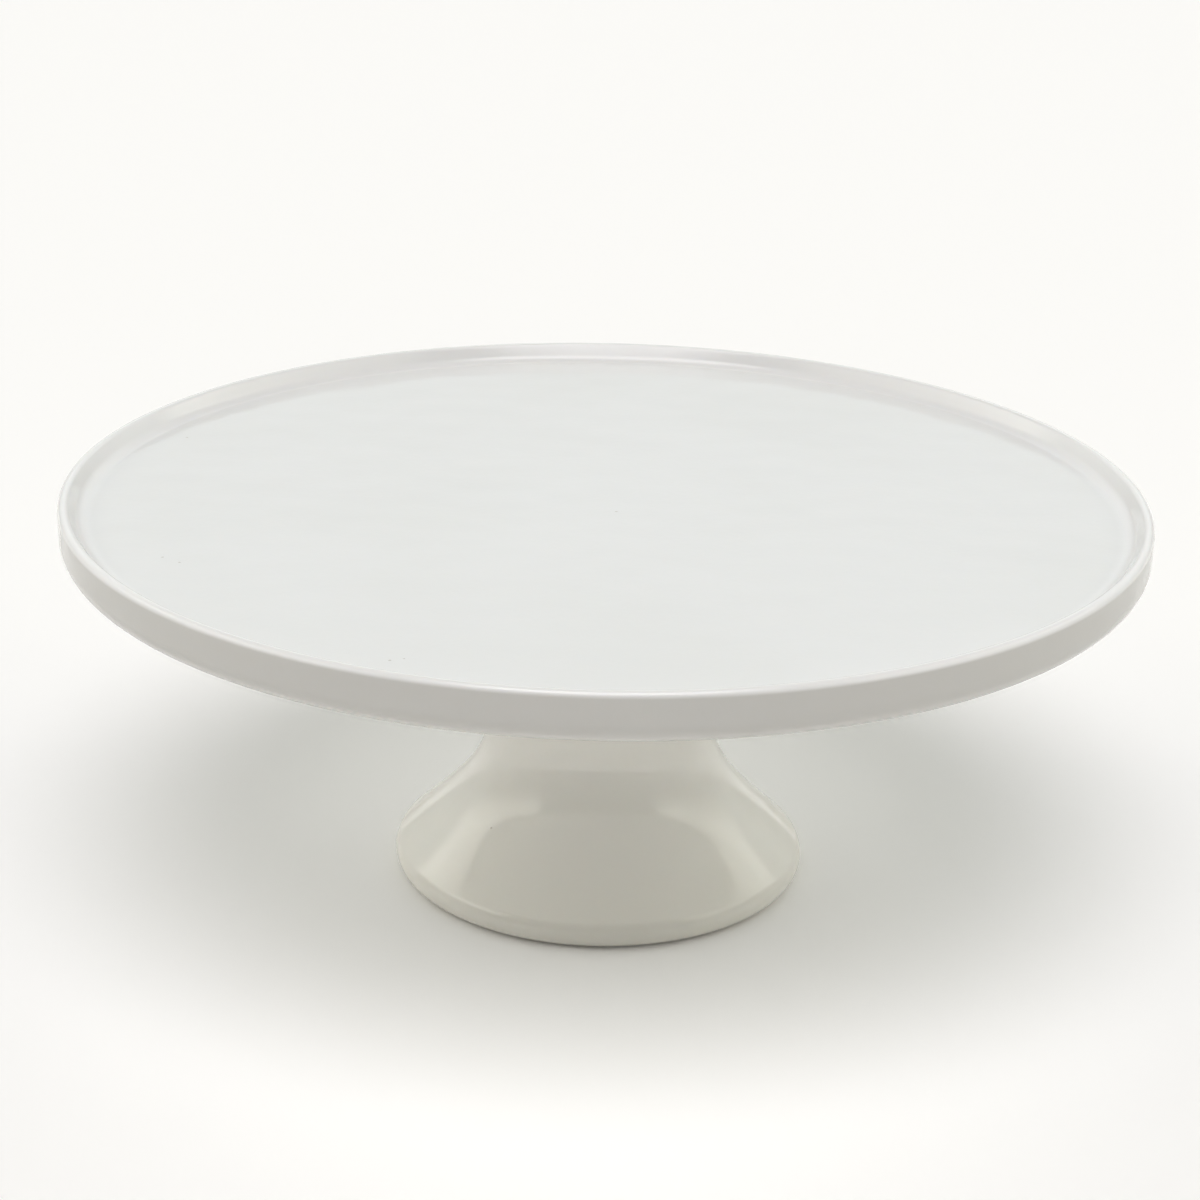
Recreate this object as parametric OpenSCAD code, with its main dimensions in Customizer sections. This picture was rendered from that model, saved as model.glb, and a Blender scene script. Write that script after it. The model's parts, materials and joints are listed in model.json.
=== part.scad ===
// Cake stand: a round glazed plate with a low raised rim on a hollow trumpet foot.
// One screw from below clamps the plate's boss to the top of the foot.
// Millimetres, +Z up, origin on the table under the middle of the foot.

/* [Plate] */
// Diameter over the rim
plate_d = 300; // [260:5:340]
// Height of the rim's crest above the table
stand_h = 115; // [115:1:130]
// Height of the plate's outer edge, crest to lowest point
edge_h = 14; // [13:0.5:16]
// Depth of the floor below the crest
rim_depth = 5; // [4:0.25:6]
// Width of the rounded crest
lip_w = 3.2; // [2.4:0.2:4]
// Slope of the rim's inner face from level, in degrees
rim_slope = 58; // [45:1:70]
// Radius of the hollow between the rim and the floor
cove_r = 4; // [3:0.5:5]
// Radius of the edge's lower outer corner
edge_r = 6; // [4:0.5:7]
// Thickness of the floor
floor_t = 6.2; // [5:0.2:7]
// Width of the flat under the edge
skirt_w = 1.2; // [0.6:0.2:3]

/* [Foot] */
// Largest diameter, at the rounded base
foot_d = 118; // [100:2:130]
// Radius of the rounded base
base_r = 4.75; // [4:0.25:5.5]
// Angle at which the flare leaves the rounded base, in degrees
flare_angle = 47; // [40:1:55]
// Pull of the flare along that angle
flare_pull = 30; // [24:1:32]
// Diameter of the neck at its narrowest
neck_d = 61.5; // [56:0.5:66]
// Height of the narrowest point
neck_z = 66; // [62:1:70]
// Pull of the neck's straight stretch
neck_pull = 33; // [26:1:36]
// Lean of the neck's outline at the top, in degrees
neck_lean = 20; // [12:1:24]
// Thickness of the wall
wall_t = 5; // [4:0.25:5.5]
// Width of the base, from its largest radius in to the hollow
ring_w = 9; // [8:0.5:14]
// Thickness of the shelf that carries the screw
shelf_t = 7; // [6:0.5:9]

/* [Fixing] */
// Diameter of the screw's thread
screw_d = 6; // [5:0.5:6]
// Length of the screw below its head
screw_l = 20; // [19:0.25:20.5]
// Diameter of the screw's head
head_d = 12; // [11:0.5:14]
// Height of the screw's head
head_h = 4; // [3.5:0.25:5]
// Diameter of the threaded insert
insert_d = 10; // [9:0.5:11]
// Length of the threaded insert
insert_l = 9.5; // [9.5:0.25:10.5]
// Thickness of the cement round the insert
cement_t = 1.5; // [1:0.25:2]
// Diameter of the centring spigot under the boss
spigot_d = 44; // [38:1:46]
// Length of the spigot
spigot_l = 3; // [2:0.5:3.5]
// Thickness of the gasket
gasket_t = 1; // [0.8:0.1:1.5]
// Thickness of the rubber washer
rubber_t = 1.5; // [1:0.25:2]
// Thickness of the steel washer
washer_t = 1.5; // [1:0.25:2]

/* [Hidden] */
$fn = 96;
eps = 0.01;                      // overshoot of a cut, so that it leaves no skin

arc_n = 8;                       // steps in a rounded corner
curve_n = 18;                    // steps in a long curve

plate_r = plate_d / 2;
lip_r = lip_w / 2;
floor_z = stand_h - rim_depth;
under_z = floor_z - floor_t;
edge_z = stand_h - edge_h;
rim_flat = (rim_depth - (lip_r + cove_r) * (1 - cos(rim_slope))) / sin(rim_slope);
floor_r = plate_r - lip_r - (lip_r + cove_r) * sin(rim_slope) - rim_flat * cos(rim_slope);
skirt_drop = under_z - edge_z;
skirt_r = skirt_drop / 2;        // the skirt's inner side is two equal rounds
skirt_in_r = plate_r - edge_r - skirt_w;

boss_drop = 7.8;                 // how far the boss stands below the floor's underside
boss_z = under_z - boss_drop;
boss_r = 37;
boss_edge_r = 1.5;
boss_cove_r = boss_drop - boss_edge_r;
spigot_z = boss_z - spigot_l;

foot_h = boss_z - gasket_t;
base_c = foot_d / 2 - base_r;    // radius of the ring that the rounded base is drawn about
neck_r = neck_d / 2;
ring_in_r = foot_d / 2 - ring_w;
ring_edge_r = 1.5;
top_edge_r = 1.6;
recess_gap = 0.4;                // spigot to recess, all round
recess_under = 1;                // free space below the spigot
recess_z = foot_h - spigot_l + gasket_t - recess_under;
shelf_z = recess_z - shelf_t;
shelf_cove_r = 4;
screw_hole_r = 4;

gasket_in = 1.5;                 // gasket's inner edge outside the spigot
gasket_out = 0.5;                // gasket's outer edge inside both flat faces
rubber_r = 11;
washer_r = 9;
washer_gap = 0.2;                // washer's hole to the screw
washer_z = shelf_z - rubber_t - washer_t;
thread_gap = 0.05;               // insert's bore to the screw
screw_r = screw_d / 2;
screw_tip = 0.8;                 // bevel at the screw's end
head_round = 1.4;                // rounding of the head's face
slot_w = 1.3;                    // arms of the cross recess
slot_l = 6;
slot_h = 2.2;
insert_r = insert_d / 2;
insert_groove = 0.5;             // depth of the insert's grooves
insert_band = 1.5;               // width of each groove
insert_cap = 1;                  // cement above the insert
socket_r = insert_r + cement_t;

// A point on a circle of radius r about c, at angle a
function on_circle(c, r, a) = c + r * [cos(a), sin(a)];

// The points of an arc from angle a0 to a1
function arc(c, r, a0, a1, n = arc_n) = [for (i = [0:n]) on_circle(c, r, a0 + (a1 - a0) * i / n)];

// A cubic curve with end points p0 and p3, pulled towards p1 and p2
function cubic(p0, p1, p2, p3, t) =
    pow(1 - t, 3) * p0 + 3 * t * pow(1 - t, 2) * p1 + 3 * t * t * (1 - t) * p2 + pow(t, 3) * p3;

// The points of an upward outline moved towards the axis by d, square to the outline
function inward(pts, d) = [
    for (i = [1:len(pts) - 2])
        let (along = pts[i + 1] - pts[i - 1])
            pts[i] + d * [-along[1], along[0]] / norm(along)
];

// The point between p and q whose radius is r
function at_radius(p, q, r) = p + (q - p) * (p[0] - r) / (p[0] - q[0]);

// Outline of the foot from the rounded base to its top, as [radius, height]
base_arc = arc([base_c, base_r], base_r, -90, flare_angle, 2 * arc_n);
flare_start = base_arc[2 * arc_n];
flare_p1 = flare_start + flare_pull * [-sin(flare_angle), cos(flare_angle)];
flare_end = [neck_r, neck_z];
flare = [for (i = [1:curve_n])
    cubic(flare_start, flare_p1, flare_end - [0, neck_pull], flare_end, i / curve_n)];
lean_h = foot_h - top_edge_r * (1 + sin(neck_lean)) - neck_z;
lean_r = lean_h / sin(neck_lean);
neck_arc = arc([neck_r + lean_r, neck_z], lean_r, 180, 180 - neck_lean);
top_c = [neck_arc[arc_n][0] - top_edge_r * cos(neck_lean), foot_h - top_edge_r];
gasket_r = min(top_c[0], boss_r - boss_edge_r) - gasket_out;
foot_outer = concat(base_arc, flare, [for (i = [1:arc_n]) neck_arc[i]]);
foot_inner = concat(
    [flare_start - wall_t * [cos(flare_angle), sin(flare_angle)]],
    inward(concat([flare_start], flare, [for (i = [1:arc_n]) neck_arc[i]]), wall_t)
);

// The inner wall, from the standing ring as far as the shelf's rounded corner
ring_i = min([for (i = [0:len(foot_inner) - 1]) if (foot_inner[i][0] < ring_in_r) i]);
ring_top = at_radius(foot_inner[ring_i - 1], foot_inner[ring_i], ring_in_r);
inner_wall = [for (p = foot_inner) if (p[0] < ring_in_r && p[1] < shelf_z - shelf_cove_r) p];
shelf_in_r = inner_wall[len(inner_wall) - 1][0];

plate_profile = concat(
    [[0, floor_z]],
    arc([floor_r, floor_z + cove_r], cove_r, -90, rim_slope - 90),
    arc([plate_r - lip_r, stand_h - lip_r], lip_r, rim_slope + 90, 0),
    arc([plate_r - edge_r, edge_z + edge_r], edge_r, 0, -90),
    arc([skirt_in_r, edge_z + skirt_r], skirt_r, -90, -180),
    arc([skirt_in_r - 2 * skirt_r, edge_z + skirt_r], skirt_r, 0, 90),
    arc([boss_r + boss_cove_r, boss_z + boss_edge_r], boss_cove_r, 90, 180),
    arc([boss_r - boss_edge_r, boss_z + boss_edge_r], boss_edge_r, 0, -90),
    [[spigot_d / 2, boss_z], [spigot_d / 2, spigot_z], [0, spigot_z]]
);

foot_profile = concat(
    foot_outer,
    arc(top_c, top_edge_r, -neck_lean, 90),
    [[spigot_d / 2 + recess_gap, foot_h], [spigot_d / 2 + recess_gap, recess_z],
     [0, recess_z], [0, shelf_z]],
    arc([shelf_in_r - shelf_cove_r, shelf_z - shelf_cove_r], shelf_cove_r, 90, 0),
    [for (i = [len(inner_wall) - 1:-1:0]) inner_wall[i]],
    [ring_top],
    arc([ring_in_r + ring_edge_r, ring_edge_r], ring_edge_r, 180, 270)
);

// A flat ring from height z up
module ring(outer_r, inner_r, z, t) {
    translate([0, 0, z])
        difference() {
            cylinder(r = outer_r, h = t);
            translate([0, 0, -eps])
                cylinder(r = inner_r, h = t + 2 * eps);
        }
}

module plate() {
    color("white")
        difference() {
            rotate_extrude()
                polygon(plate_profile);
            translate([0, 0, spigot_z - eps])
                cylinder(r = socket_r, h = insert_l + insert_cap + eps);
        }
}

module foot() {
    color("ivory")
        difference() {
            rotate_extrude()
                polygon(foot_profile);
            translate([0, 0, shelf_z - eps])
                cylinder(r = screw_hole_r, h = shelf_t + 2 * eps);
        }
}

// Outside of the insert: a barrel with two grooves that key it into the cement
module insert_barrel() {
    difference() {
        translate([0, 0, spigot_z])
            cylinder(r = insert_r, h = insert_l);
        for (i = [1:2])
            ring(insert_r + 1, insert_r - insert_groove,
                 spigot_z + i * insert_l / 3 - insert_band / 2, insert_band);
    }
}

module threaded_insert() {
    color("goldenrod")
        difference() {
            insert_barrel();
            translate([0, 0, spigot_z - eps])
                cylinder(r = screw_r + thread_gap, h = insert_l + 2 * eps);
        }
}

module insert_cement() {
    color("lightgrey")
        difference() {
            translate([0, 0, spigot_z])
                cylinder(r = socket_r, h = insert_l + insert_cap);
            insert_barrel();
        }
}

module neck_gasket() {
    color("gainsboro")
        ring(gasket_r, spigot_d / 2 + gasket_in, foot_h, gasket_t);
}

module rubber_washer() {
    color("dimgray")
        ring(rubber_r, screw_r + washer_gap, shelf_z - rubber_t, rubber_t);
}

module steel_washer() {
    color("silver")
        ring(washer_r, screw_r + washer_gap, washer_z, washer_t);
}

module fixing_screw() {
    color("silver")
        difference() {
            rotate_extrude()
                polygon(concat(
                    [[0, washer_z - head_h]],
                    arc([head_d / 2 - head_round, washer_z - head_h + head_round], head_round, -90, 0),
                    [[head_d / 2, washer_z], [screw_r, washer_z],
                     [screw_r, washer_z + screw_l - screw_tip],
                     [screw_r - screw_tip, washer_z + screw_l], [0, washer_z + screw_l]]
                ));
            for (turn = [0, 90])
                rotate([0, 0, turn])
                    translate([-slot_l / 2, -slot_w / 2, washer_z - head_h - eps])
                        cube([slot_l, slot_w, slot_h + eps]);
        }
}

plate();
foot();
threaded_insert();
insert_cement();
neck_gasket();
rubber_washer();
steel_washer();
fixing_screw();
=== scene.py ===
"""Looks for the cake stand: glazed porcelain plate and foot, and the screw that joins them."""

import json
import math

import bmesh
import bpy
from mathutils import Matrix, Vector, noise


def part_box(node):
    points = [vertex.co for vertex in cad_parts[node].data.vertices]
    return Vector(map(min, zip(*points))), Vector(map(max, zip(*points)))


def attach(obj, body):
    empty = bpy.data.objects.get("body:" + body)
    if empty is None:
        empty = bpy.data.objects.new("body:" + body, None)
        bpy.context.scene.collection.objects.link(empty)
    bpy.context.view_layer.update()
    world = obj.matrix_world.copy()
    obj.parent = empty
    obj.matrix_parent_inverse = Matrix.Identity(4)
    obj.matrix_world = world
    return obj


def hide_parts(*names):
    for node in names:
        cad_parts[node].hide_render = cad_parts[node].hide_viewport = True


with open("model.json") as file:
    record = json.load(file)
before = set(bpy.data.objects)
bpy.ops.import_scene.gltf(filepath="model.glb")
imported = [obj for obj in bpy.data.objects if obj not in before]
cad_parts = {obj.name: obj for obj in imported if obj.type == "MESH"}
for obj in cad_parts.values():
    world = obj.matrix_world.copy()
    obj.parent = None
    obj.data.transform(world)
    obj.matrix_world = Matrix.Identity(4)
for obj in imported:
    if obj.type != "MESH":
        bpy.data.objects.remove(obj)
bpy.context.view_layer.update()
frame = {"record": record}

MM = 0.001


def low(node):
    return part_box(node)[0]


def high(node):
    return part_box(node)[1]


# Sizes that the frame gives
PLATE_R = high("plate").x
CREST_Z = high("plate").z
SPIGOT_Z = low("plate").z
FOOT_R = high("foot").x
FOOT_H = high("foot").z
BOSS_Z = high("neck_gasket").z
SHELF_Z = high("rubber_washer").z
WASHER_Z = low("steel_washer").z
SOCKET_R = high("insert_cement").x
SOCKET_Z = high("insert_cement").z
INSERT_R = high("threaded_insert").x
INSERT_Z = high("threaded_insert").z
HEAD_R = high("fixing_screw").x
HEAD_Z = low("fixing_screw").z
TIP_Z = high("fixing_screw").z

# Plate: the same outline as the CAD node
RIM_DEPTH = 5 * MM
LIP_R = 1.6 * MM
RIM_SLOPE = 58                   # degrees
COVE_R = 4 * MM
EDGE_H = 14 * MM
EDGE_R = 6 * MM
FLOOR_T = 6.2 * MM
SKIRT_W = 1.2 * MM
BOSS_R = 37 * MM
BOSS_EDGE_R = 1.5 * MM
SPIGOT_R = 22 * MM

# Foot: the same outline as the CAD node
BASE_R = 4.75 * MM
FLARE_ANGLE = 47                 # degrees
FLARE_PULL = 30 * MM
NECK_R = 30.75 * MM
NECK_Z = 66 * MM
NECK_PULL = 33 * MM
NECK_LEAN = 20                   # degrees
WALL_T = 5 * MM
RING_W = 9 * MM
RING_EDGE_R = 1.5 * MM
TOP_EDGE_R = 1.6 * MM
RECESS_GAP = 0.4 * MM
RECESS_Z = SPIGOT_Z - 1 * MM
SHELF_COVE_R = 4 * MM
SCREW_HOLE_R = 4 * MM

# Fixing
GASKET_HOLE_R = 23.5 * MM
WASHER_HOLE_R = 3.2 * MM
THREAD_R = 3 * MM
THREAD_DEPTH = 0.55 * MM
THREAD_PITCH = 1 * MM
THREAD_GAP = 0.06 * MM
THREAD_ROOT = THREAD_R - THREAD_DEPTH
PLAIN_SHANK = 1.5 * MM           # below the head, without a thread
TIP_BEVEL = 0.8 * MM
HEAD_ROUND_R = 1.4 * MM
HEAD_EDGE_R = 0.2 * MM
GROOVE_W = 1.5 * MM              # round the insert, where the cement holds it
GROOVE_D = 0.5 * MM
INSERT_BEVEL = 0.3 * MM
MOUTH_BEVEL = 0.5 * MM
KNURL_LOBES = 15                 # twice as many ridges round the insert
KNURL_LEAN = 2200                # radians of turn for each metre of height
KNURL_D = 0.18 * MM

# Detail that only the looks have
SOFT_EDGE = 0.35 * MM            # rounding where two faces of porcelain meet
GLAZE_T = 0.12 * MM              # how far the glaze stands proud of the bare body
GLAZE_END = 0.9 * MM             # height at which the glaze stops above the table
GLAZE_FADE = 0.5 * MM            # over which the glaze thins to nothing there
WARP = 0.08 * MM                 # unevenness of the fired rim
AROUND = 288                     # steps round the axis of the porcelain
AROUND_INSERT = 180
AROUND_RING = 144
AROUND_SMALL = 96
ARC_N = 14                       # steps along an arc
CURVE_N = 48                     # steps along a curve
BARE = 1                         # the material slot of the unglazed faces

# Colours, as (red, green, blue)
PLATE_WHITE = (0.76, 0.765, 0.76)
PLATE_CLOUD = (0.745, 0.75, 0.74)
# Painted light: the rim is painted lighter than the plate's glaze
RIM_PAINTED_LIGHT = (0.86, 0.86, 0.85)
# Painted shade: the outside of the plate's edge is painted darker and warmer
EDGE_PAINTED_SHADE = (0.60, 0.59, 0.56)
# Painted light: the foot's glaze is lighter and warmer than the plate's, standing in for light and warm
# bounce that reach the foot in the plate's shade
FOOT_PAINTED_LIGHT = (0.925, 0.905, 0.835)
FOOT_CLOUD_PAINTED_LIGHT = (0.91, 0.89, 0.82)
PINHOLE = (0.42, 0.36, 0.28)
BODY_PALE = (0.74, 0.71, 0.63)
BODY_DARK = (0.66, 0.61, 0.51)
BODY_SPECK = (0.48, 0.42, 0.33)
TABLE = (0.93, 0.925, 0.915)
TABLE_GLOW = 0.05
TABLE_HALF = 6.0                 # half the table's side, in metres

# Relief of the glaze, in metres
WAVE_H = 0.0003
PEEL_H = 0.00002
PIT_D = 0.00012

# Light: a dark room but for these, each with its radiance
BACKDROP_LIGHT = (1.02, 1.08, 1.07)
LEFT_LIGHT = (2.14, 2.09, 1.88)
RIGHT_LIGHT = (1.87, 1.85, 1.63)
OVERHEAD_LIGHT = (4.08, 4.02, 4.12)
OVERHEAD_LEAN = 20               # degrees from straight up towards the viewer's side
ROOM_LIGHT = (0.50, 0.50, 0.49)  # the far room, low down behind and at the sides
BELOW_LIGHT = (0.45, 0.45, 0.44)  # hidden by the table, so it only shows where the table doesn't

# Camera: metres from the object's middle and above the table, then degrees
CAMERA_BACK = 0.7046
CAMERA_UP = 0.3471
CAMERA_PITCH = 20.73
CAMERA_YAW = -0.09
CAMERA_ROLL = 1.31
CAMERA_SENSOR = 36               # mm
CAMERA_LENS = 80                 # mm


# ---------- outlines, as (radius, height) ----------

def arc(centre, radius, start, end, n=ARC_N):
    """Points on an arc from one angle to another, in degrees, both ends included."""
    turn = [math.radians(start + (end - start) * i / n) for i in range(n + 1)]
    return [(centre[0] + radius * math.cos(a), centre[1] + radius * math.sin(a)) for a in turn]


def cubic(p0, p1, p2, p3, n=CURVE_N):
    """Points on a cubic curve, its first point left out."""
    out = []
    for i in range(1, n + 1):
        t = i / n
        w = ((1 - t) ** 3, 3 * t * (1 - t) ** 2, 3 * t * t * (1 - t), t ** 3)
        out.append(tuple(sum(k * p[j] for k, p in zip(w, (p0, p1, p2, p3))) for j in (0, 1)))
    return out


def inward(points, depth):
    """An upward outline moved towards the axis, square to itself, its two ends left out."""
    out = []
    for before, here, after in zip(points, points[1:], points[2:]):
        along = Vector((after[0] - before[0], after[1] - before[1])).normalized()
        out.append((here[0] - depth * along.y, here[1] + depth * along.x))
    return out


def steps(p, q, n):
    """The points that cut a line into n parts, its two ends left out."""
    return [(p[0] + (q[0] - p[0]) * i / n, p[1] + (q[1] - p[1]) * i / n) for i in range(1, n)]


def corner(before, at, after, radius):
    """A sharp corner of an outline, rounded."""
    b = (Vector(before) - Vector(at)).normalized() * radius
    a = (Vector(after) - Vector(at)).normalized() * radius
    c = Vector(at)
    return [tuple(c + b * (1 - t) ** 2 + a * t ** 2) for t in (0, 0.25, 0.5, 0.75, 1)]


def plate_outline():
    """From the middle of the plate's floor out over the rim, and back below to the screw's socket."""
    floor_z = CREST_Z - RIM_DEPTH
    under_z = floor_z - FLOOR_T
    edge_z = CREST_Z - EDGE_H
    slope = math.radians(RIM_SLOPE)
    flat = (RIM_DEPTH - (LIP_R + COVE_R) * (1 - math.cos(slope))) / math.sin(slope)
    floor_r = PLATE_R - LIP_R - (LIP_R + COVE_R) * math.sin(slope) - flat * math.cos(slope)
    skirt_r = (under_z - edge_z) / 2
    skirt_in = PLATE_R - EDGE_R - SKIRT_W
    cove = under_z - BOSS_Z - BOSS_EDGE_R
    middle = (0, floor_z)
    under_out = (skirt_in - 2 * skirt_r, under_z)
    under_in = (BOSS_R + cove, under_z)
    spigot_top = (SPIGOT_R, BOSS_Z)
    spigot_end = (SPIGOT_R, SPIGOT_Z)
    mouth = (SOCKET_R, SPIGOT_Z)
    return [
        middle,
        *steps(middle, (floor_r, floor_z), 40),
        *arc((floor_r, floor_z + COVE_R), COVE_R, -90, RIM_SLOPE - 90),
        *arc((PLATE_R - LIP_R, CREST_Z - LIP_R), LIP_R, RIM_SLOPE + 90, 0),
        *steps((PLATE_R, CREST_Z - LIP_R), (PLATE_R, edge_z + EDGE_R), 6),
        *arc((PLATE_R - EDGE_R, edge_z + EDGE_R), EDGE_R, 0, -90),
        *arc((skirt_in, edge_z + skirt_r), skirt_r, -90, -180),
        *arc((skirt_in - 2 * skirt_r, edge_z + skirt_r), skirt_r, 0, 90)[1:],
        *steps(under_out, under_in, 28),
        *arc((BOSS_R + cove, BOSS_Z + BOSS_EDGE_R), cove, 90, 180),
        *arc((BOSS_R - BOSS_EDGE_R, BOSS_Z + BOSS_EDGE_R), BOSS_EDGE_R, 0, -90)[1:],
        *steps((BOSS_R - BOSS_EDGE_R, BOSS_Z), spigot_top, 6),
        *corner((BOSS_R, BOSS_Z), spigot_top, spigot_end, SOFT_EDGE),
        *corner(spigot_top, spigot_end, mouth, SOFT_EDGE),
        *steps(spigot_end, mouth, 8),
        *corner(spigot_end, mouth, (SOCKET_R, SOCKET_Z), SOFT_EDGE / 2),
        (SOCKET_R, SOCKET_Z),
        (0, SOCKET_Z),
    ]


def foot_outline():
    """The closed outline of the foot's wall: up the outside, over the top and down the inside."""
    base_c = FOOT_R - BASE_R
    ring_in = FOOT_R - RING_W
    base = arc((base_c, BASE_R), BASE_R, -90, FLARE_ANGLE, 3 * ARC_N)
    angle = math.radians(FLARE_ANGLE)
    lean = math.radians(NECK_LEAN)
    pull = (base[-1][0] - FLARE_PULL * math.sin(angle), base[-1][1] + FLARE_PULL * math.cos(angle))
    flare = cubic(base[-1], pull, (NECK_R, NECK_Z - NECK_PULL), (NECK_R, NECK_Z))
    lean_h = FOOT_H - TOP_EDGE_R * (1 + math.sin(lean)) - NECK_Z
    lean_r = lean_h / math.sin(lean)
    neck = arc((NECK_R + lean_r, NECK_Z), lean_r, 180, 180 - NECK_LEAN, 2 * ARC_N)[1:]
    top_c = (neck[-1][0] - TOP_EDGE_R * math.cos(lean), FOOT_H - TOP_EDGE_R)
    start_in = (base[-1][0] - WALL_T * math.cos(angle), base[-1][1] - WALL_T * math.sin(angle))
    inside = [start_in, *inward([base[-1], *flare, *neck], WALL_T)]
    first = next(i for i, p in enumerate(inside) if p[0] < ring_in)
    p, q = inside[first - 1], inside[first]
    t = (p[0] - ring_in) / (p[0] - q[0])
    ring_top = (ring_in, p[1] + t * (q[1] - p[1]))
    wall = [p for p in inside[first:] if p[1] < SHELF_Z - SHELF_COVE_R]
    shelf_in = wall[-1][0]
    recess_r = SPIGOT_R + RECESS_GAP
    rim = (top_c[0], FOOT_H)
    lip = (recess_r, FOOT_H)
    recess = (recess_r, RECESS_Z)
    hole_top = (SCREW_HOLE_R, RECESS_Z)
    hole_end = (SCREW_HOLE_R, SHELF_Z)
    return [
        *base,
        *flare,
        *neck,
        *arc(top_c, TOP_EDGE_R, -NECK_LEAN, 90)[1:],
        *steps(rim, lip, 4),
        *corner(rim, lip, recess, SOFT_EDGE),
        *corner(lip, recess, hole_top, SOFT_EDGE),
        *steps(recess, hole_top, 6),
        *corner(recess, hole_top, hole_end, SOFT_EDGE),
        *corner(hole_top, hole_end, (shelf_in, SHELF_Z), SOFT_EDGE),
        *steps(hole_end, (shelf_in - SHELF_COVE_R, SHELF_Z), 6),
        *arc((shelf_in - SHELF_COVE_R, SHELF_Z - SHELF_COVE_R), SHELF_COVE_R, 90, 0),
        *reversed(wall),
        *corner(wall[0], ring_top, (ring_in, RING_EDGE_R), 2 * SOFT_EDGE),
        *steps(ring_top, (ring_in, RING_EDGE_R), 8),
        *arc((ring_in + RING_EDGE_R, RING_EDGE_R), RING_EDGE_R, 180, 270),
        *steps((ring_in + RING_EDGE_R, 0), (base_c, 0), 3),
    ]


# ---------- mesh tools ----------

def lathe(name, outline, around, shift=None, closed=False, sharp=35):
    """Turns an outline round Z. shift(radius, height, angle) may return a changed (radius, height).

    A closed outline joins its last point to its first; an open one starts and ends on the axis.
    """
    verts, rows = [], []
    for r, z in outline:
        on_axis = r < 1e-9
        if on_axis:
            rows.append([len(verts)])
            verts.append((0, 0, z))
            continue
        rows.append(list(range(len(verts), len(verts) + around)))
        for k in range(around):
            a = 2 * math.pi * k / around
            rr, zz = shift(r, z, a) if shift else (r, z)
            verts.append((rr * math.cos(a), rr * math.sin(a), zz))
    faces = []
    pairs = list(zip(rows, rows[1:] + ([rows[0]] if closed else [])))
    for one, two in pairs:
        if len(one) == len(two) == 1:
            continue
        for k in range(around):
            m = (k + 1) % around
            if len(one) == 1:
                faces.append((one[0], two[m], two[k]))
            elif len(two) == 1:
                faces.append((one[k], one[m], two[0]))
            else:
                faces.append((one[k], one[m], two[m], two[k]))
    mesh = bpy.data.meshes.new(name)
    mesh.from_pydata(verts, [], faces)
    mesh.validate()
    mesh.update()
    return finish_mesh(name, mesh, sharp)


def finish_mesh(name, mesh, sharp):
    """Outward faces, smooth shading, and sharp edges only where the surface really turns."""
    bm = bmesh.new()
    bm.from_mesh(mesh)
    bmesh.ops.recalc_face_normals(bm, faces=bm.faces)
    bm.to_mesh(mesh)
    bm.free()
    mesh.shade_smooth()
    mesh.set_sharp_from_angle(angle=math.radians(sharp))
    obj = bpy.data.objects.new(name, mesh)
    bpy.context.scene.collection.objects.link(obj)
    return obj


def bake_modifiers(obj):
    """The mesh as its modifiers leave it, without them."""
    graph = bpy.context.evaluated_depsgraph_get()
    graph.update()
    mesh = bpy.data.meshes.new_from_object(obj.evaluated_get(graph), depsgraph=graph)
    obj.modifiers.clear()
    obj.data = mesh


def waves(a, *parts):
    """Waves round the axis at angle a, each part as (height, phase, lobes)."""
    return sum(height * math.cos(lobes * a + phase) for height, phase, lobes in parts)


BODY_OF = {n: b for b, nodes in frame["record"]["behaviour"]["bodies"].items() for n in nodes}


def stands_for(obj, node):
    """The piece rides with the CAD node's body and stands for it; the CAD node is hidden."""
    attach(obj, BODY_OF[node])
    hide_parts(node)


# ---------- material tools ----------

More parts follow.
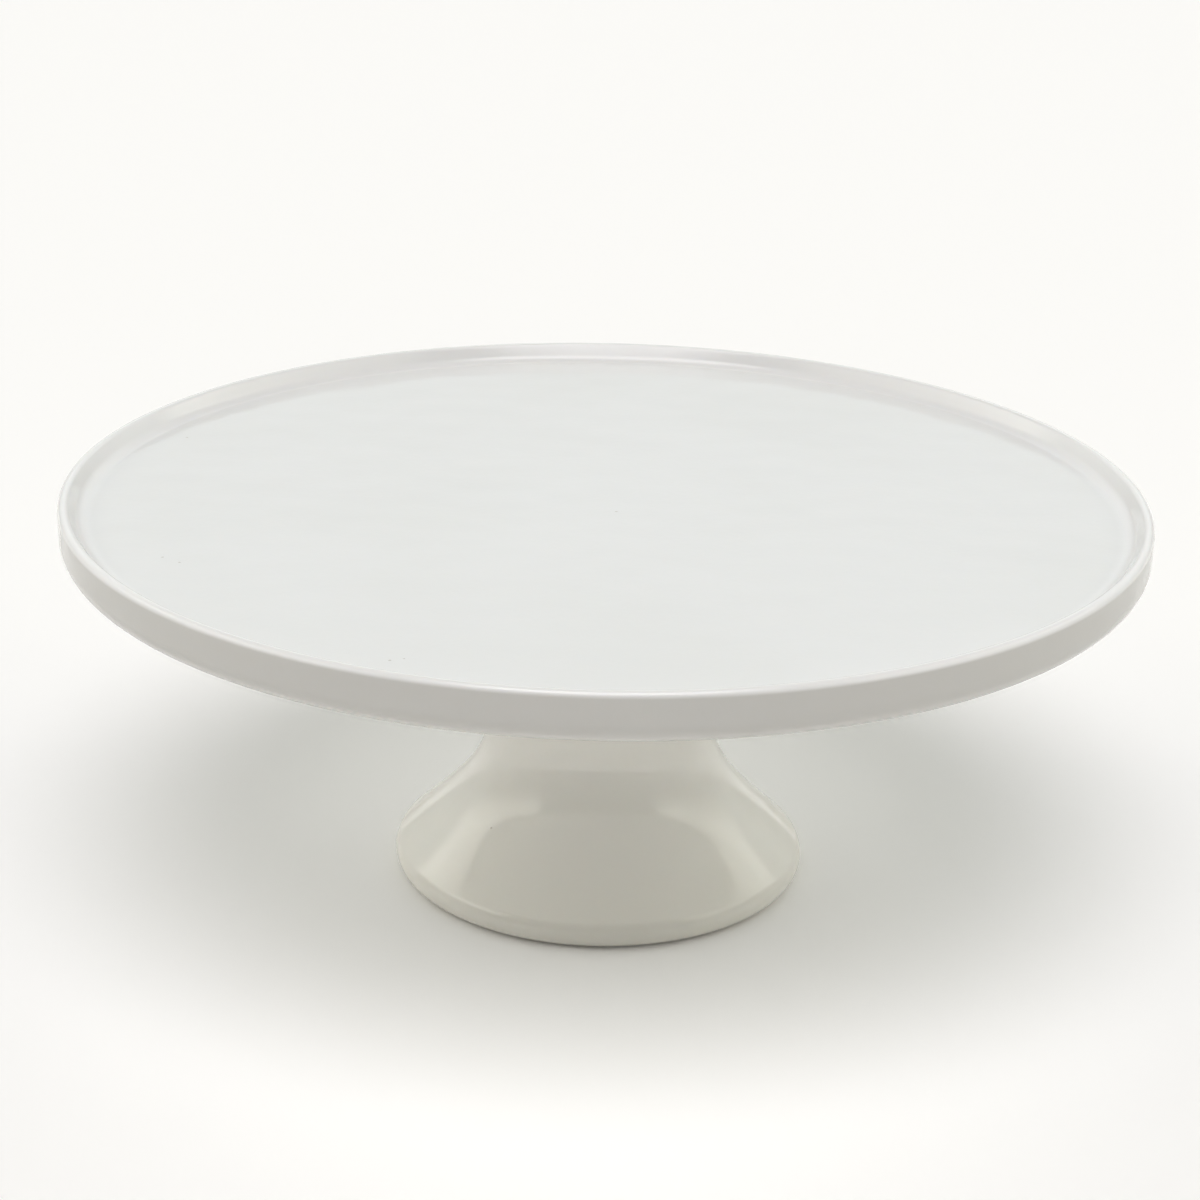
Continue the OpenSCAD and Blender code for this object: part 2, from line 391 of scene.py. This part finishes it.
class Nodes:
    """A short way to write a node tree."""

    def __init__(self, tree):
        self.tree = tree
        tree.nodes.clear()

    def put(self, socket, value):
        """Links another node's output to a socket, or sets a plain value on it."""
        if isinstance(value, bpy.types.NodeSocket):
            self.tree.links.new(value, socket)
        else:
            socket.default_value = value

    def add(self, kind, **inputs):
        node = self.tree.nodes.new(kind)
        for key, value in inputs.items():
            self.put(node.inputs[key.replace("_", " ")], value)
        return node

    def noise(self, vector, scale, detail=2.0, roughness=0.5):
        return self.add("ShaderNodeTexNoise", Vector=vector, Scale=scale, Detail=detail,
                        Roughness=roughness).outputs["Fac"]

    def ramp(self, value, low_in, high_in, low_out, high_out):
        node = self.tree.nodes.new("ShaderNodeMapRange")
        node.interpolation_type = "SMOOTHSTEP"
        self.put(node.inputs["Value"], value)
        self.put(node.inputs["From Min"], low_in)
        self.put(node.inputs["From Max"], high_in)
        self.put(node.inputs["To Min"], low_out)
        self.put(node.inputs["To Max"], high_out)
        return node.outputs["Result"]

    def mix(self, factor, one, two):
        """Mixes two colours. The mix node's colour sockets come after those for numbers and vectors."""
        node = self.tree.nodes.new("ShaderNodeMix")
        node.data_type = "RGBA"
        self.put(node.inputs[0], factor)
        self.put(node.inputs[6], one)
        self.put(node.inputs[7], two)
        return node.outputs[2]

    def math(self, operation, one, two=0.0):
        node = self.tree.nodes.new("ShaderNodeMath")
        node.operation = operation
        self.put(node.inputs[0], one)
        self.put(node.inputs[1], two)
        return node.outputs[0]

    def times(self, one, two):
        return self.math("MULTIPLY", one, two)

    def bump(self, height, distance, normal=None):
        node = self.add("ShaderNodeBump", Height=height, Strength=1.0, Distance=distance)
        if normal:
            self.tree.links.new(normal, node.inputs["Normal"])
        return node.outputs["Normal"]

    def place(self):
        """The point on the piece, in metres in the shared frame at rest."""
        return self.add("ShaderNodeTexCoord").outputs["Object"]

    def surface(self, **sockets):
        shader = self.add("ShaderNodeBsdfPrincipled", **sockets)
        out = self.tree.nodes.new("ShaderNodeOutputMaterial")
        self.tree.links.new(shader.outputs[0], out.inputs["Surface"])


def material(name):
    mat = bpy.data.materials.new(name)
    mat.use_nodes = True
    return mat, Nodes(mat.node_tree)


# ---------- materials ----------

def plate_painted_light_and_shade(n, place, colour):
    """Painted light and shade: the ring inside the rim is painted lighter, and the outside of the
    plate's edge is painted darker and warmer.
    """
    across, along, height = n.add("ShaderNodeSeparateXYZ", Vector=place).outputs
    square = n.math("ADD", n.times(across, across), n.times(along, along))
    radius = n.math("SQRT", square)
    # painted light: the ring just inside the rim is painted lighter
    rim = n.ramp(radius, PLATE_R - 2 * RIM_DEPTH, PLATE_R - RIM_DEPTH, 0, 1)
    below_lip = n.ramp(height, CREST_Z - 1.2 * LIP_R, CREST_Z - 0.5 * LIP_R, 1, 0)
    past_lip = n.ramp(radius, PLATE_R - 1.5 * LIP_R, PLATE_R - LIP_R, 0, 1)
    below_floor = n.ramp(height, CREST_Z - EDGE_H + EDGE_R, CREST_Z - 1.2 * RIM_DEPTH, 1, 0)
    past_skirt = n.ramp(radius, PLATE_R - 2 * EDGE_R, PLATE_R - EDGE_R, 0, 1)
    # painted shade: from below the lip down past the skirt, the outside of the edge is painted darker
    # and warmer
    outside = n.math("MAXIMUM", n.times(below_lip, past_lip), n.times(below_floor, past_skirt))
    colour = n.mix(rim, colour, (*RIM_PAINTED_LIGHT, 1))
    return n.mix(outside, colour, (*EDGE_PAINTED_SHADE, 1))


def glaze(name, colour, cloud_colour, vary=None):
    """Clear glaze over white porcelain: faint clouding, a slightly wavy surface and a few pinholes.

    vary(n, place, colour) may return a colour that changes over the piece.
    """
    mat, n = material(name)
    place = n.place()
    cloud = n.noise(place, 14, 3)
    base = n.mix(n.ramp(cloud, 0.35, 0.65, 0, 1), (*colour, 1), (*cloud_colour, 1))
    if vary:
        base = vary(n, place, base)
    pores = n.add("ShaderNodeTexVoronoi", Vector=place, Scale=140.0, Randomness=1.0)
    spot = n.ramp(pores.outputs["Distance"], 0.035, 0.06, 1, 0)
    rare = n.ramp(n.noise(place, 45, 0), 0.72, 0.76, 0, 1)
    pinhole = n.times(spot, rare)
    base = n.mix(n.times(pinhole, 0.45), base, (*PINHOLE, 1))
    smear = n.noise(place, 30, 4, 0.6)
    rough = n.ramp(smear, 0.3, 0.75, 0.045, 0.085)
    slow = n.bump(n.noise(place, 40, 1), WAVE_H)
    peel = n.bump(n.noise(place, 420, 2), PEEL_H, slow)
    pit = n.bump(n.times(pinhole, -1.0), PIT_D, peel)
    n.surface(Base_Color=base, Roughness=rough, Normal=pit, IOR=1.52,
              Subsurface_Weight=0.05, Subsurface_Radius=(0.004, 0.003, 0.002),
              Subsurface_Scale=1.0)
    return mat


def bisque():
    """Bare fired body, where the glaze is wiped off."""
    mat, n = material("bisque")
    place = n.place()
    grain = n.noise(place, 1800, 4, 0.7)
    patch = n.noise(place, 60, 3)
    base = n.mix(n.ramp(patch, 0.35, 0.7, 0, 1), (*BODY_PALE, 1), (*BODY_DARK, 1))
    base = n.mix(n.ramp(grain, 0.55, 0.75, 0, 0.35), base, (*BODY_SPECK, 1))
    n.surface(Base_Color=base, Roughness=n.ramp(grain, 0.3, 0.7, 0.72, 0.92),
              Normal=n.bump(grain, 0.00012))
    return mat


def metal(name, bright, dull, rough, scale):
    """Metal with faint stains, and fine lines left by turning."""
    mat, n = material(name)
    place = n.place()
    stain = n.noise(place, 260, 4, 0.6)
    drawn_out = n.add("ShaderNodeMapping", Vector=place, Scale=(1, 1, 14)).outputs[0]
    lines = n.noise(drawn_out, scale, 3)
    n.surface(Base_Color=n.mix(n.ramp(stain, 0.35, 0.7, 0, 1), (*bright, 1), (*dull, 1)),
              Metallic=1.0, Roughness=n.ramp(stain, 0.3, 0.7, rough, rough + 0.18),
              Normal=n.bump(lines, 0.00002))
    return mat


def matt(name, one, two, rough, scale, distance, **more):
    """A matt material with a fine grain, patched from two near colours."""
    mat, n = material(name)
    place = n.place()
    grain = n.noise(place, scale, 4, 0.65)
    patch = n.noise(place, scale / 12, 2)
    n.surface(Base_Color=n.mix(n.ramp(patch, 0.3, 0.7, 0, 1), (*one, 1), (*two, 1)),
              Roughness=n.ramp(grain, 0.3, 0.7, rough - 0.1, rough + 0.06),
              Normal=n.bump(grain, distance), **more)
    return mat


# ---------- the pieces ----------

def make_plate():
    def uneven(r, z, a):
        share = (r / PLATE_R) ** 3
        lift = WARP * share * waves(a, (1, 0.6, 2), (0.5, 2.1, 3), (0.3, 4.0, 7))
        out = 0.5 * WARP * share * waves(a, (1, 1.3, 3), (0.6, 0.2, 5))
        return r + out - 0.8 * WARP * share, z + lift - 1.2 * WARP * share
    obj = lathe("plate_porcelain", plate_outline(), AROUND, uneven)
    obj.data.materials.append(PLATE_GLAZE)
    obj.data.materials.append(BISQUE)
    for face in obj.data.polygons:
        c = face.center
        if c.z < BOSS_Z + GLAZE_T and math.hypot(c.x, c.y) < BOSS_R - BOSS_EDGE_R:
            face.material_index = BARE
    stands_for(obj, "plate")


def make_foot():
    def uneven(r, z, a):
        share = min(max((z - GLAZE_END) / GLAZE_FADE, 0), 1)
        glazed = share * share * (3 - 2 * share)
        out = 0.35 * WARP * waves(a, (1, 0.9, 2), (0.6, 2.6, 5)) - (1 - glazed) * GLAZE_T
        inside_ring = r < FOOT_R - RING_W + RING_EDGE_R and z < NECK_Z / 6
        return (r - out if inside_ring else r + out - 0.5 * WARP), z
    obj = lathe("foot_porcelain", foot_outline(), AROUND, uneven, closed=True)
    obj.data.materials.append(FOOT_GLAZE)
    obj.data.materials.append(BISQUE)
    for face in obj.data.polygons:
        c = face.center
        r = math.hypot(c.x, c.y)
        on_ring = c.z < GLAZE_END
        in_joint = r < SPIGOT_R + 4 * RECESS_GAP and c.z > SHELF_Z + GLAZE_T
        if on_ring or in_joint:
            face.material_index = BARE
    stands_for(obj, "foot")


def thread(z, a):
    """Height of the thread above its root, 0 to 1, at height z and angle a."""
    turn = (z / THREAD_PITCH - a / (2 * math.pi)) % 1.0
    return min(1.0, max(0.0, 1.15 * (1 - abs(2 * turn - 1)) - 0.05))


def make_screw():
    thread_lo = WASHER_Z + PLAIN_SHANK
    thread_hi = TIP_Z - TIP_BEVEL
    rows = int((TIP_Z - TIP_BEVEL - WASHER_Z - PLAIN_SHANK) / (THREAD_PITCH / 20))
    shoulder = (THREAD_R, WASHER_Z)
    rim = (HEAD_R, WASHER_Z)

    def turn(r, z, a):
        on_thread = 0.9 * THREAD_ROOT <= r <= 1.01 * THREAD_R and z >= thread_lo
        if not on_thread:
            return r, z
        top = THREAD_ROOT + THREAD_DEPTH * thread(z, a)
        if z > thread_hi:
            return THREAD_ROOT + (top - THREAD_ROOT) * max(0.0, (TIP_Z - z) / TIP_BEVEL), z
        return THREAD_R + (top - THREAD_R) * min(1.0, (z - thread_lo) / THREAD_PITCH), z
    outline = [
        (0, HEAD_Z),
        *steps((0, HEAD_Z), (HEAD_R - HEAD_ROUND_R, HEAD_Z), 8),
        *arc((HEAD_R - HEAD_ROUND_R, HEAD_Z + HEAD_ROUND_R), HEAD_ROUND_R, -90, 0),
        *corner((HEAD_R, HEAD_Z), rim, shoulder, HEAD_EDGE_R),
        *corner(rim, shoulder, (THREAD_R, TIP_Z), HEAD_EDGE_R),
        *steps((THREAD_R, thread_lo), (THREAD_R, thread_hi), rows),
        *steps((THREAD_R, thread_hi), (THREAD_R - 0.35 * TIP_BEVEL, TIP_Z), 8),
        (0.85 * THREAD_ROOT, TIP_Z),
        (0, TIP_Z),
    ]
    obj = lathe("screw_m6_pan_head", outline, AROUND_SMALL, turn)
    cutter = cross_cutter()
    cut = obj.modifiers.new("recess", "BOOLEAN")
    cut.operation = "DIFFERENCE"
    cut.solver = "EXACT"
    cut.object = cutter
    bake_modifiers(obj)
    bpy.data.objects.remove(cutter)
    obj.data.shade_smooth()
    obj.data.set_sharp_from_angle(angle=math.radians(70))
    obj.data.materials.clear()
    obj.data.materials.append(ZINC)
    stands_for(obj, "fixing_screw")


def cross_cutter():
    """A tapered cross, as a screwdriver's tip has."""
    reach = 3.0 * MM
    width = 0.62 * MM
    below = HEAD_Z - 0.5 * MM
    above = HEAD_Z + 2.2 * MM
    outline = [(reach, width), (width, width), (width, reach), (-width, reach), (-width, width),
               (-reach, width), (-reach, -width), (-width, -width), (-width, -reach),
               (width, -reach), (width, -width), (reach, -width)]

    def narrowed(v):
        return v * 0.45 if abs(v) > width else v * 0.8
    verts = [(x, y, below) for x, y in outline]
    verts += [(narrowed(x), narrowed(y), above) for x, y in outline]
    count = len(outline)
    faces = [tuple(range(count))[::-1], tuple(range(count, 2 * count))]
    faces += [(i, (i + 1) % count, count + (i + 1) % count, count + i) for i in range(count)]
    mesh = bpy.data.meshes.new("cross_cutter")
    mesh.from_pydata(verts, [], faces)
    return finish_mesh("cross_cutter", mesh, 20)


def make_insert():
    """A knurled sleeve with two grooves outside and a thread inside."""
    length = INSERT_Z - SPIGOT_Z
    shoulder_r = INSERT_R - INSERT_BEVEL
    mouth_r = THREAD_R + MOUTH_BEVEL
    rows = 76
    outer = []
    for i in range(1, rows):
        z = SPIGOT_Z + length * i / rows
        in_groove = any(abs(z - SPIGOT_Z - k * length / 3) < GROOVE_W / 2 for k in (1, 2))
        outer.append((INSERT_R - (GROOVE_D if in_groove else 0), z))

    def turn(r, z, a):
        if abs(r - INSERT_R) < 0.05 * MM:
            one_way = abs(math.sin(KNURL_LOBES * a + z * KNURL_LEAN))
            other_way = abs(math.sin(KNURL_LOBES * a - z * KNURL_LEAN))
            return r - KNURL_D * (1 - one_way * other_way), z
        if r < THREAD_R + 0.3 * MM:
            return THREAD_ROOT + THREAD_GAP + THREAD_DEPTH * thread(z, a), z
        return r, z
    outline = [
        (mouth_r, SPIGOT_Z),
        *steps((mouth_r, SPIGOT_Z), (shoulder_r, SPIGOT_Z), 4),
        (shoulder_r, SPIGOT_Z + 0.02 * MM),
        *outer,
        (shoulder_r, INSERT_Z),
        (mouth_r, INSERT_Z),
        *steps((THREAD_R, INSERT_Z - MOUTH_BEVEL), (THREAD_R, SPIGOT_Z + MOUTH_BEVEL), 170),
    ]
    obj = lathe("brass_insert", outline, AROUND_INSERT, turn, closed=True, sharp=70)
    obj.data.materials.append(BRASS)
    stands_for(obj, "threaded_insert")


def make_cement():
    """Fills the socket round the insert and above it, and is lumpy where it shows."""
    inner = INSERT_R - 0.15 * MM
    lumps_in_metre = 900

    def rough(r, z, a):
        if z >= SPIGOT_Z + 0.3 * MM:
            return r, z
        spread = r * lumps_in_metre
        lump = noise.noise(Vector((spread * math.cos(a), spread * math.sin(a), z * lumps_in_metre)))
        return r, z + (0.12 * MM * lump + 0.1 * MM)
    outline = [
        (0, INSERT_Z),
        (inner, INSERT_Z),
        (inner, SPIGOT_Z),
        *steps((inner, SPIGOT_Z), (SOCKET_R, SPIGOT_Z), 6),
        (SOCKET_R, SPIGOT_Z + 0.1 * MM),
        (SOCKET_R, SOCKET_Z),
        (0, SOCKET_Z),
    ]
    obj = lathe("cement_collar", outline, AROUND_SMALL, rough)
    obj.data.materials.append(CEMENT)
    stands_for(obj, "insert_cement")


def make_ring(name, node, inner, edge, mat, bulge=0.0):
    """A washer or gasket with rounded edges. bulge swells its rim, as a clamped rubber ring does."""
    lo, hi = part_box(node)
    outer = hi.x - bulge
    a, b, c, d = (inner, lo.z), (outer, lo.z), (outer, hi.z), (inner, hi.z)
    outline = [
        *corner(d, a, b, edge),
        *steps(a, b, 4)[1:-1],
        *corner(a, b, c, edge),
        *corner(b, c, d, edge),
        *steps(c, d, 4)[1:-1],
        *corner(c, d, a, edge),
    ]
    middle = (lo.z + hi.z) / 2
    half = (hi.z - lo.z) / 2

    def swell(r, z, turn):
        share = max(0.0, 1 - ((z - middle) / half) ** 2)
        return (r + bulge * share if r > (inner + outer) / 2 else r - 0.3 * bulge * share), z
    obj = lathe(name, outline, AROUND_RING, swell, closed=True)
    obj.data.materials.append(mat)
    stands_for(obj, node)


# ---------- the setting ----------

def make_table():
    low_side, high_side = -TABLE_HALF, TABLE_HALF
    corners = [(low_side, low_side, 0), (high_side, low_side, 0), (high_side, high_side, 0),
               (low_side, high_side, 0)]
    mesh = bpy.data.meshes.new("table")
    mesh.from_pydata(corners, [], [(0, 1, 2, 3)])
    table = bpy.data.objects.new("table", mesh)
    bpy.context.scene.collection.objects.link(table)
    mat, n = material("white_table")
    n.surface(Base_Color=(*TABLE, 1), Roughness=0.9, Specular_IOR_Level=0.1,
              Emission_Color=(1, 1, 1, 1), Emission_Strength=TABLE_GLOW)
    mesh.materials.append(mat)


def make_light():
    """A pale wall behind, a large soft box on each side and one overhead, in a dim room."""
    world = bpy.data.worlds.new("studio")
    world.use_nodes = True
    bpy.context.scene.world = world
    n = Nodes(world.node_tree)
    direction = n.add("ShaderNodeTexCoord").outputs["Generated"]
    x, y, z = n.add("ShaderNodeSeparateXYZ", Vector=direction).outputs
    level = n.math("SQRT", n.math("MAXIMUM", n.math("SUBTRACT", 1.0, n.times(z, z)), 1e-4))
    across = n.math("DIVIDE", x, level)
    behind = n.math("DIVIDE", y, level)
    lean = math.radians(OVERHEAD_LEAN)
    box = n.add("ShaderNodeVectorMath")
    box.operation = "DOT_PRODUCT"
    n.tree.links.new(direction, box.inputs[0])
    box.inputs[1].default_value = (0, -math.sin(lean), math.cos(lean))
    near_box = box.outputs["Value"]

    def band(bottom, middle, top):
        return n.times(n.ramp(z, bottom, middle, 0, 1), n.ramp(z, middle, top, 1, 0))
    parts = [
        (BACKDROP_LIGHT, n.times(band(0.0, 0.4, 0.8), n.ramp(behind, 0.1, 0.7, 0, 1))),
        (LEFT_LIGHT, n.times(band(0.2, 0.5, 0.95), n.ramp(across, -0.88, -0.78, 1, 0))),
        (RIGHT_LIGHT, n.times(band(0.2, 0.5, 0.95), n.ramp(across, 0.78, 0.88, 0, 1))),
        (OVERHEAD_LIGHT, n.ramp(near_box, 0.88, 0.97, 0, 1)),
        (ROOM_LIGHT, n.times(n.ramp(z, 0.0, 0.4, 1, 0), n.ramp(behind, -0.8, 0.1, 0.15, 1))),
        (BELOW_LIGHT, n.ramp(z, -0.15, -0.02, 1, 0)),
    ]
    total = None
    for colour, strength in parts:
        part = n.add("ShaderNodeBackground", Color=(*colour, 1), Strength=strength).outputs[0]
        if total:
            both = n.tree.nodes.new("ShaderNodeAddShader")
            n.tree.links.new(total, both.inputs[0])
            n.tree.links.new(part, both.inputs[1])
            part = both.outputs[0]
        total = part
    out = n.tree.nodes.new("ShaderNodeOutputWorld")
    n.tree.links.new(total, out.inputs["Surface"])


def make_camera():
    pitch = math.radians(CAMERA_PITCH)
    yaw = math.radians(CAMERA_YAW)
    roll = math.radians(CAMERA_ROLL)
    ahead = Vector((math.sin(yaw) * math.cos(pitch), math.cos(yaw) * math.cos(pitch),
                    -math.sin(pitch)))
    level = Vector((math.cos(yaw), -math.sin(yaw), 0))
    upward = level.cross(ahead)
    right = math.cos(roll) * level + math.sin(roll) * upward
    up = math.cos(roll) * upward - math.sin(roll) * level
    data = bpy.data.cameras.new("camera")
    data.sensor_width = CAMERA_SENSOR
    data.lens = CAMERA_LENS
    camera = bpy.data.objects.new("camera", data)
    turn = Matrix((right, up, -ahead)).transposed().to_4x4()
    camera.matrix_world = Matrix.Translation((0, -CAMERA_BACK, CAMERA_UP)) @ turn
    bpy.context.scene.collection.objects.link(camera)
    bpy.context.scene.camera = camera


make_camera()
# The plate's glaze carries painted light on the rim and painted shade down the outside of the edge.
PLATE_GLAZE = glaze("plate_glaze", PLATE_WHITE, PLATE_CLOUD, plate_painted_light_and_shade)
# The foot's glaze carries painted light: lighter and warmer than the plate's.
FOOT_GLAZE = glaze("foot_glaze", FOOT_PAINTED_LIGHT, FOOT_CLOUD_PAINTED_LIGHT)
BISQUE = bisque()
ZINC = metal("zinc_steel", (0.66, 0.67, 0.68), (0.50, 0.50, 0.49), 0.26, 90)
BRASS = metal("brass", (0.80, 0.60, 0.28), (0.62, 0.44, 0.20), 0.28, 90)
CEMENT = matt("cement", (0.46, 0.45, 0.41), (0.38, 0.37, 0.33), 0.88, 2600, 0.0002)
SILICONE = matt("silicone", (0.70, 0.70, 0.67), (0.66, 0.66, 0.63), 0.5, 700, 0.00003,
                Subsurface_Weight=0.3, Subsurface_Radius=(0.002, 0.002, 0.002),
                Subsurface_Scale=1.0)
RUBBER = matt("black_rubber", (0.022, 0.022, 0.023), (0.03, 0.03, 0.03), 0.72, 1500, 0.00006)

make_plate()
make_foot()
make_screw()
make_insert()
make_cement()
make_ring("gasket_ring", "neck_gasket", GASKET_HOLE_R, 0.3 * MM, SILICONE)
make_ring("rubber_ring", "rubber_washer", WASHER_HOLE_R, 0.25 * MM, RUBBER, 0.25 * MM)
make_ring("steel_ring", "steel_washer", WASHER_HOLE_R, 0.2 * MM, ZINC)
make_table()
make_light()
bpy.context.scene.view_settings.view_transform = "Standard"
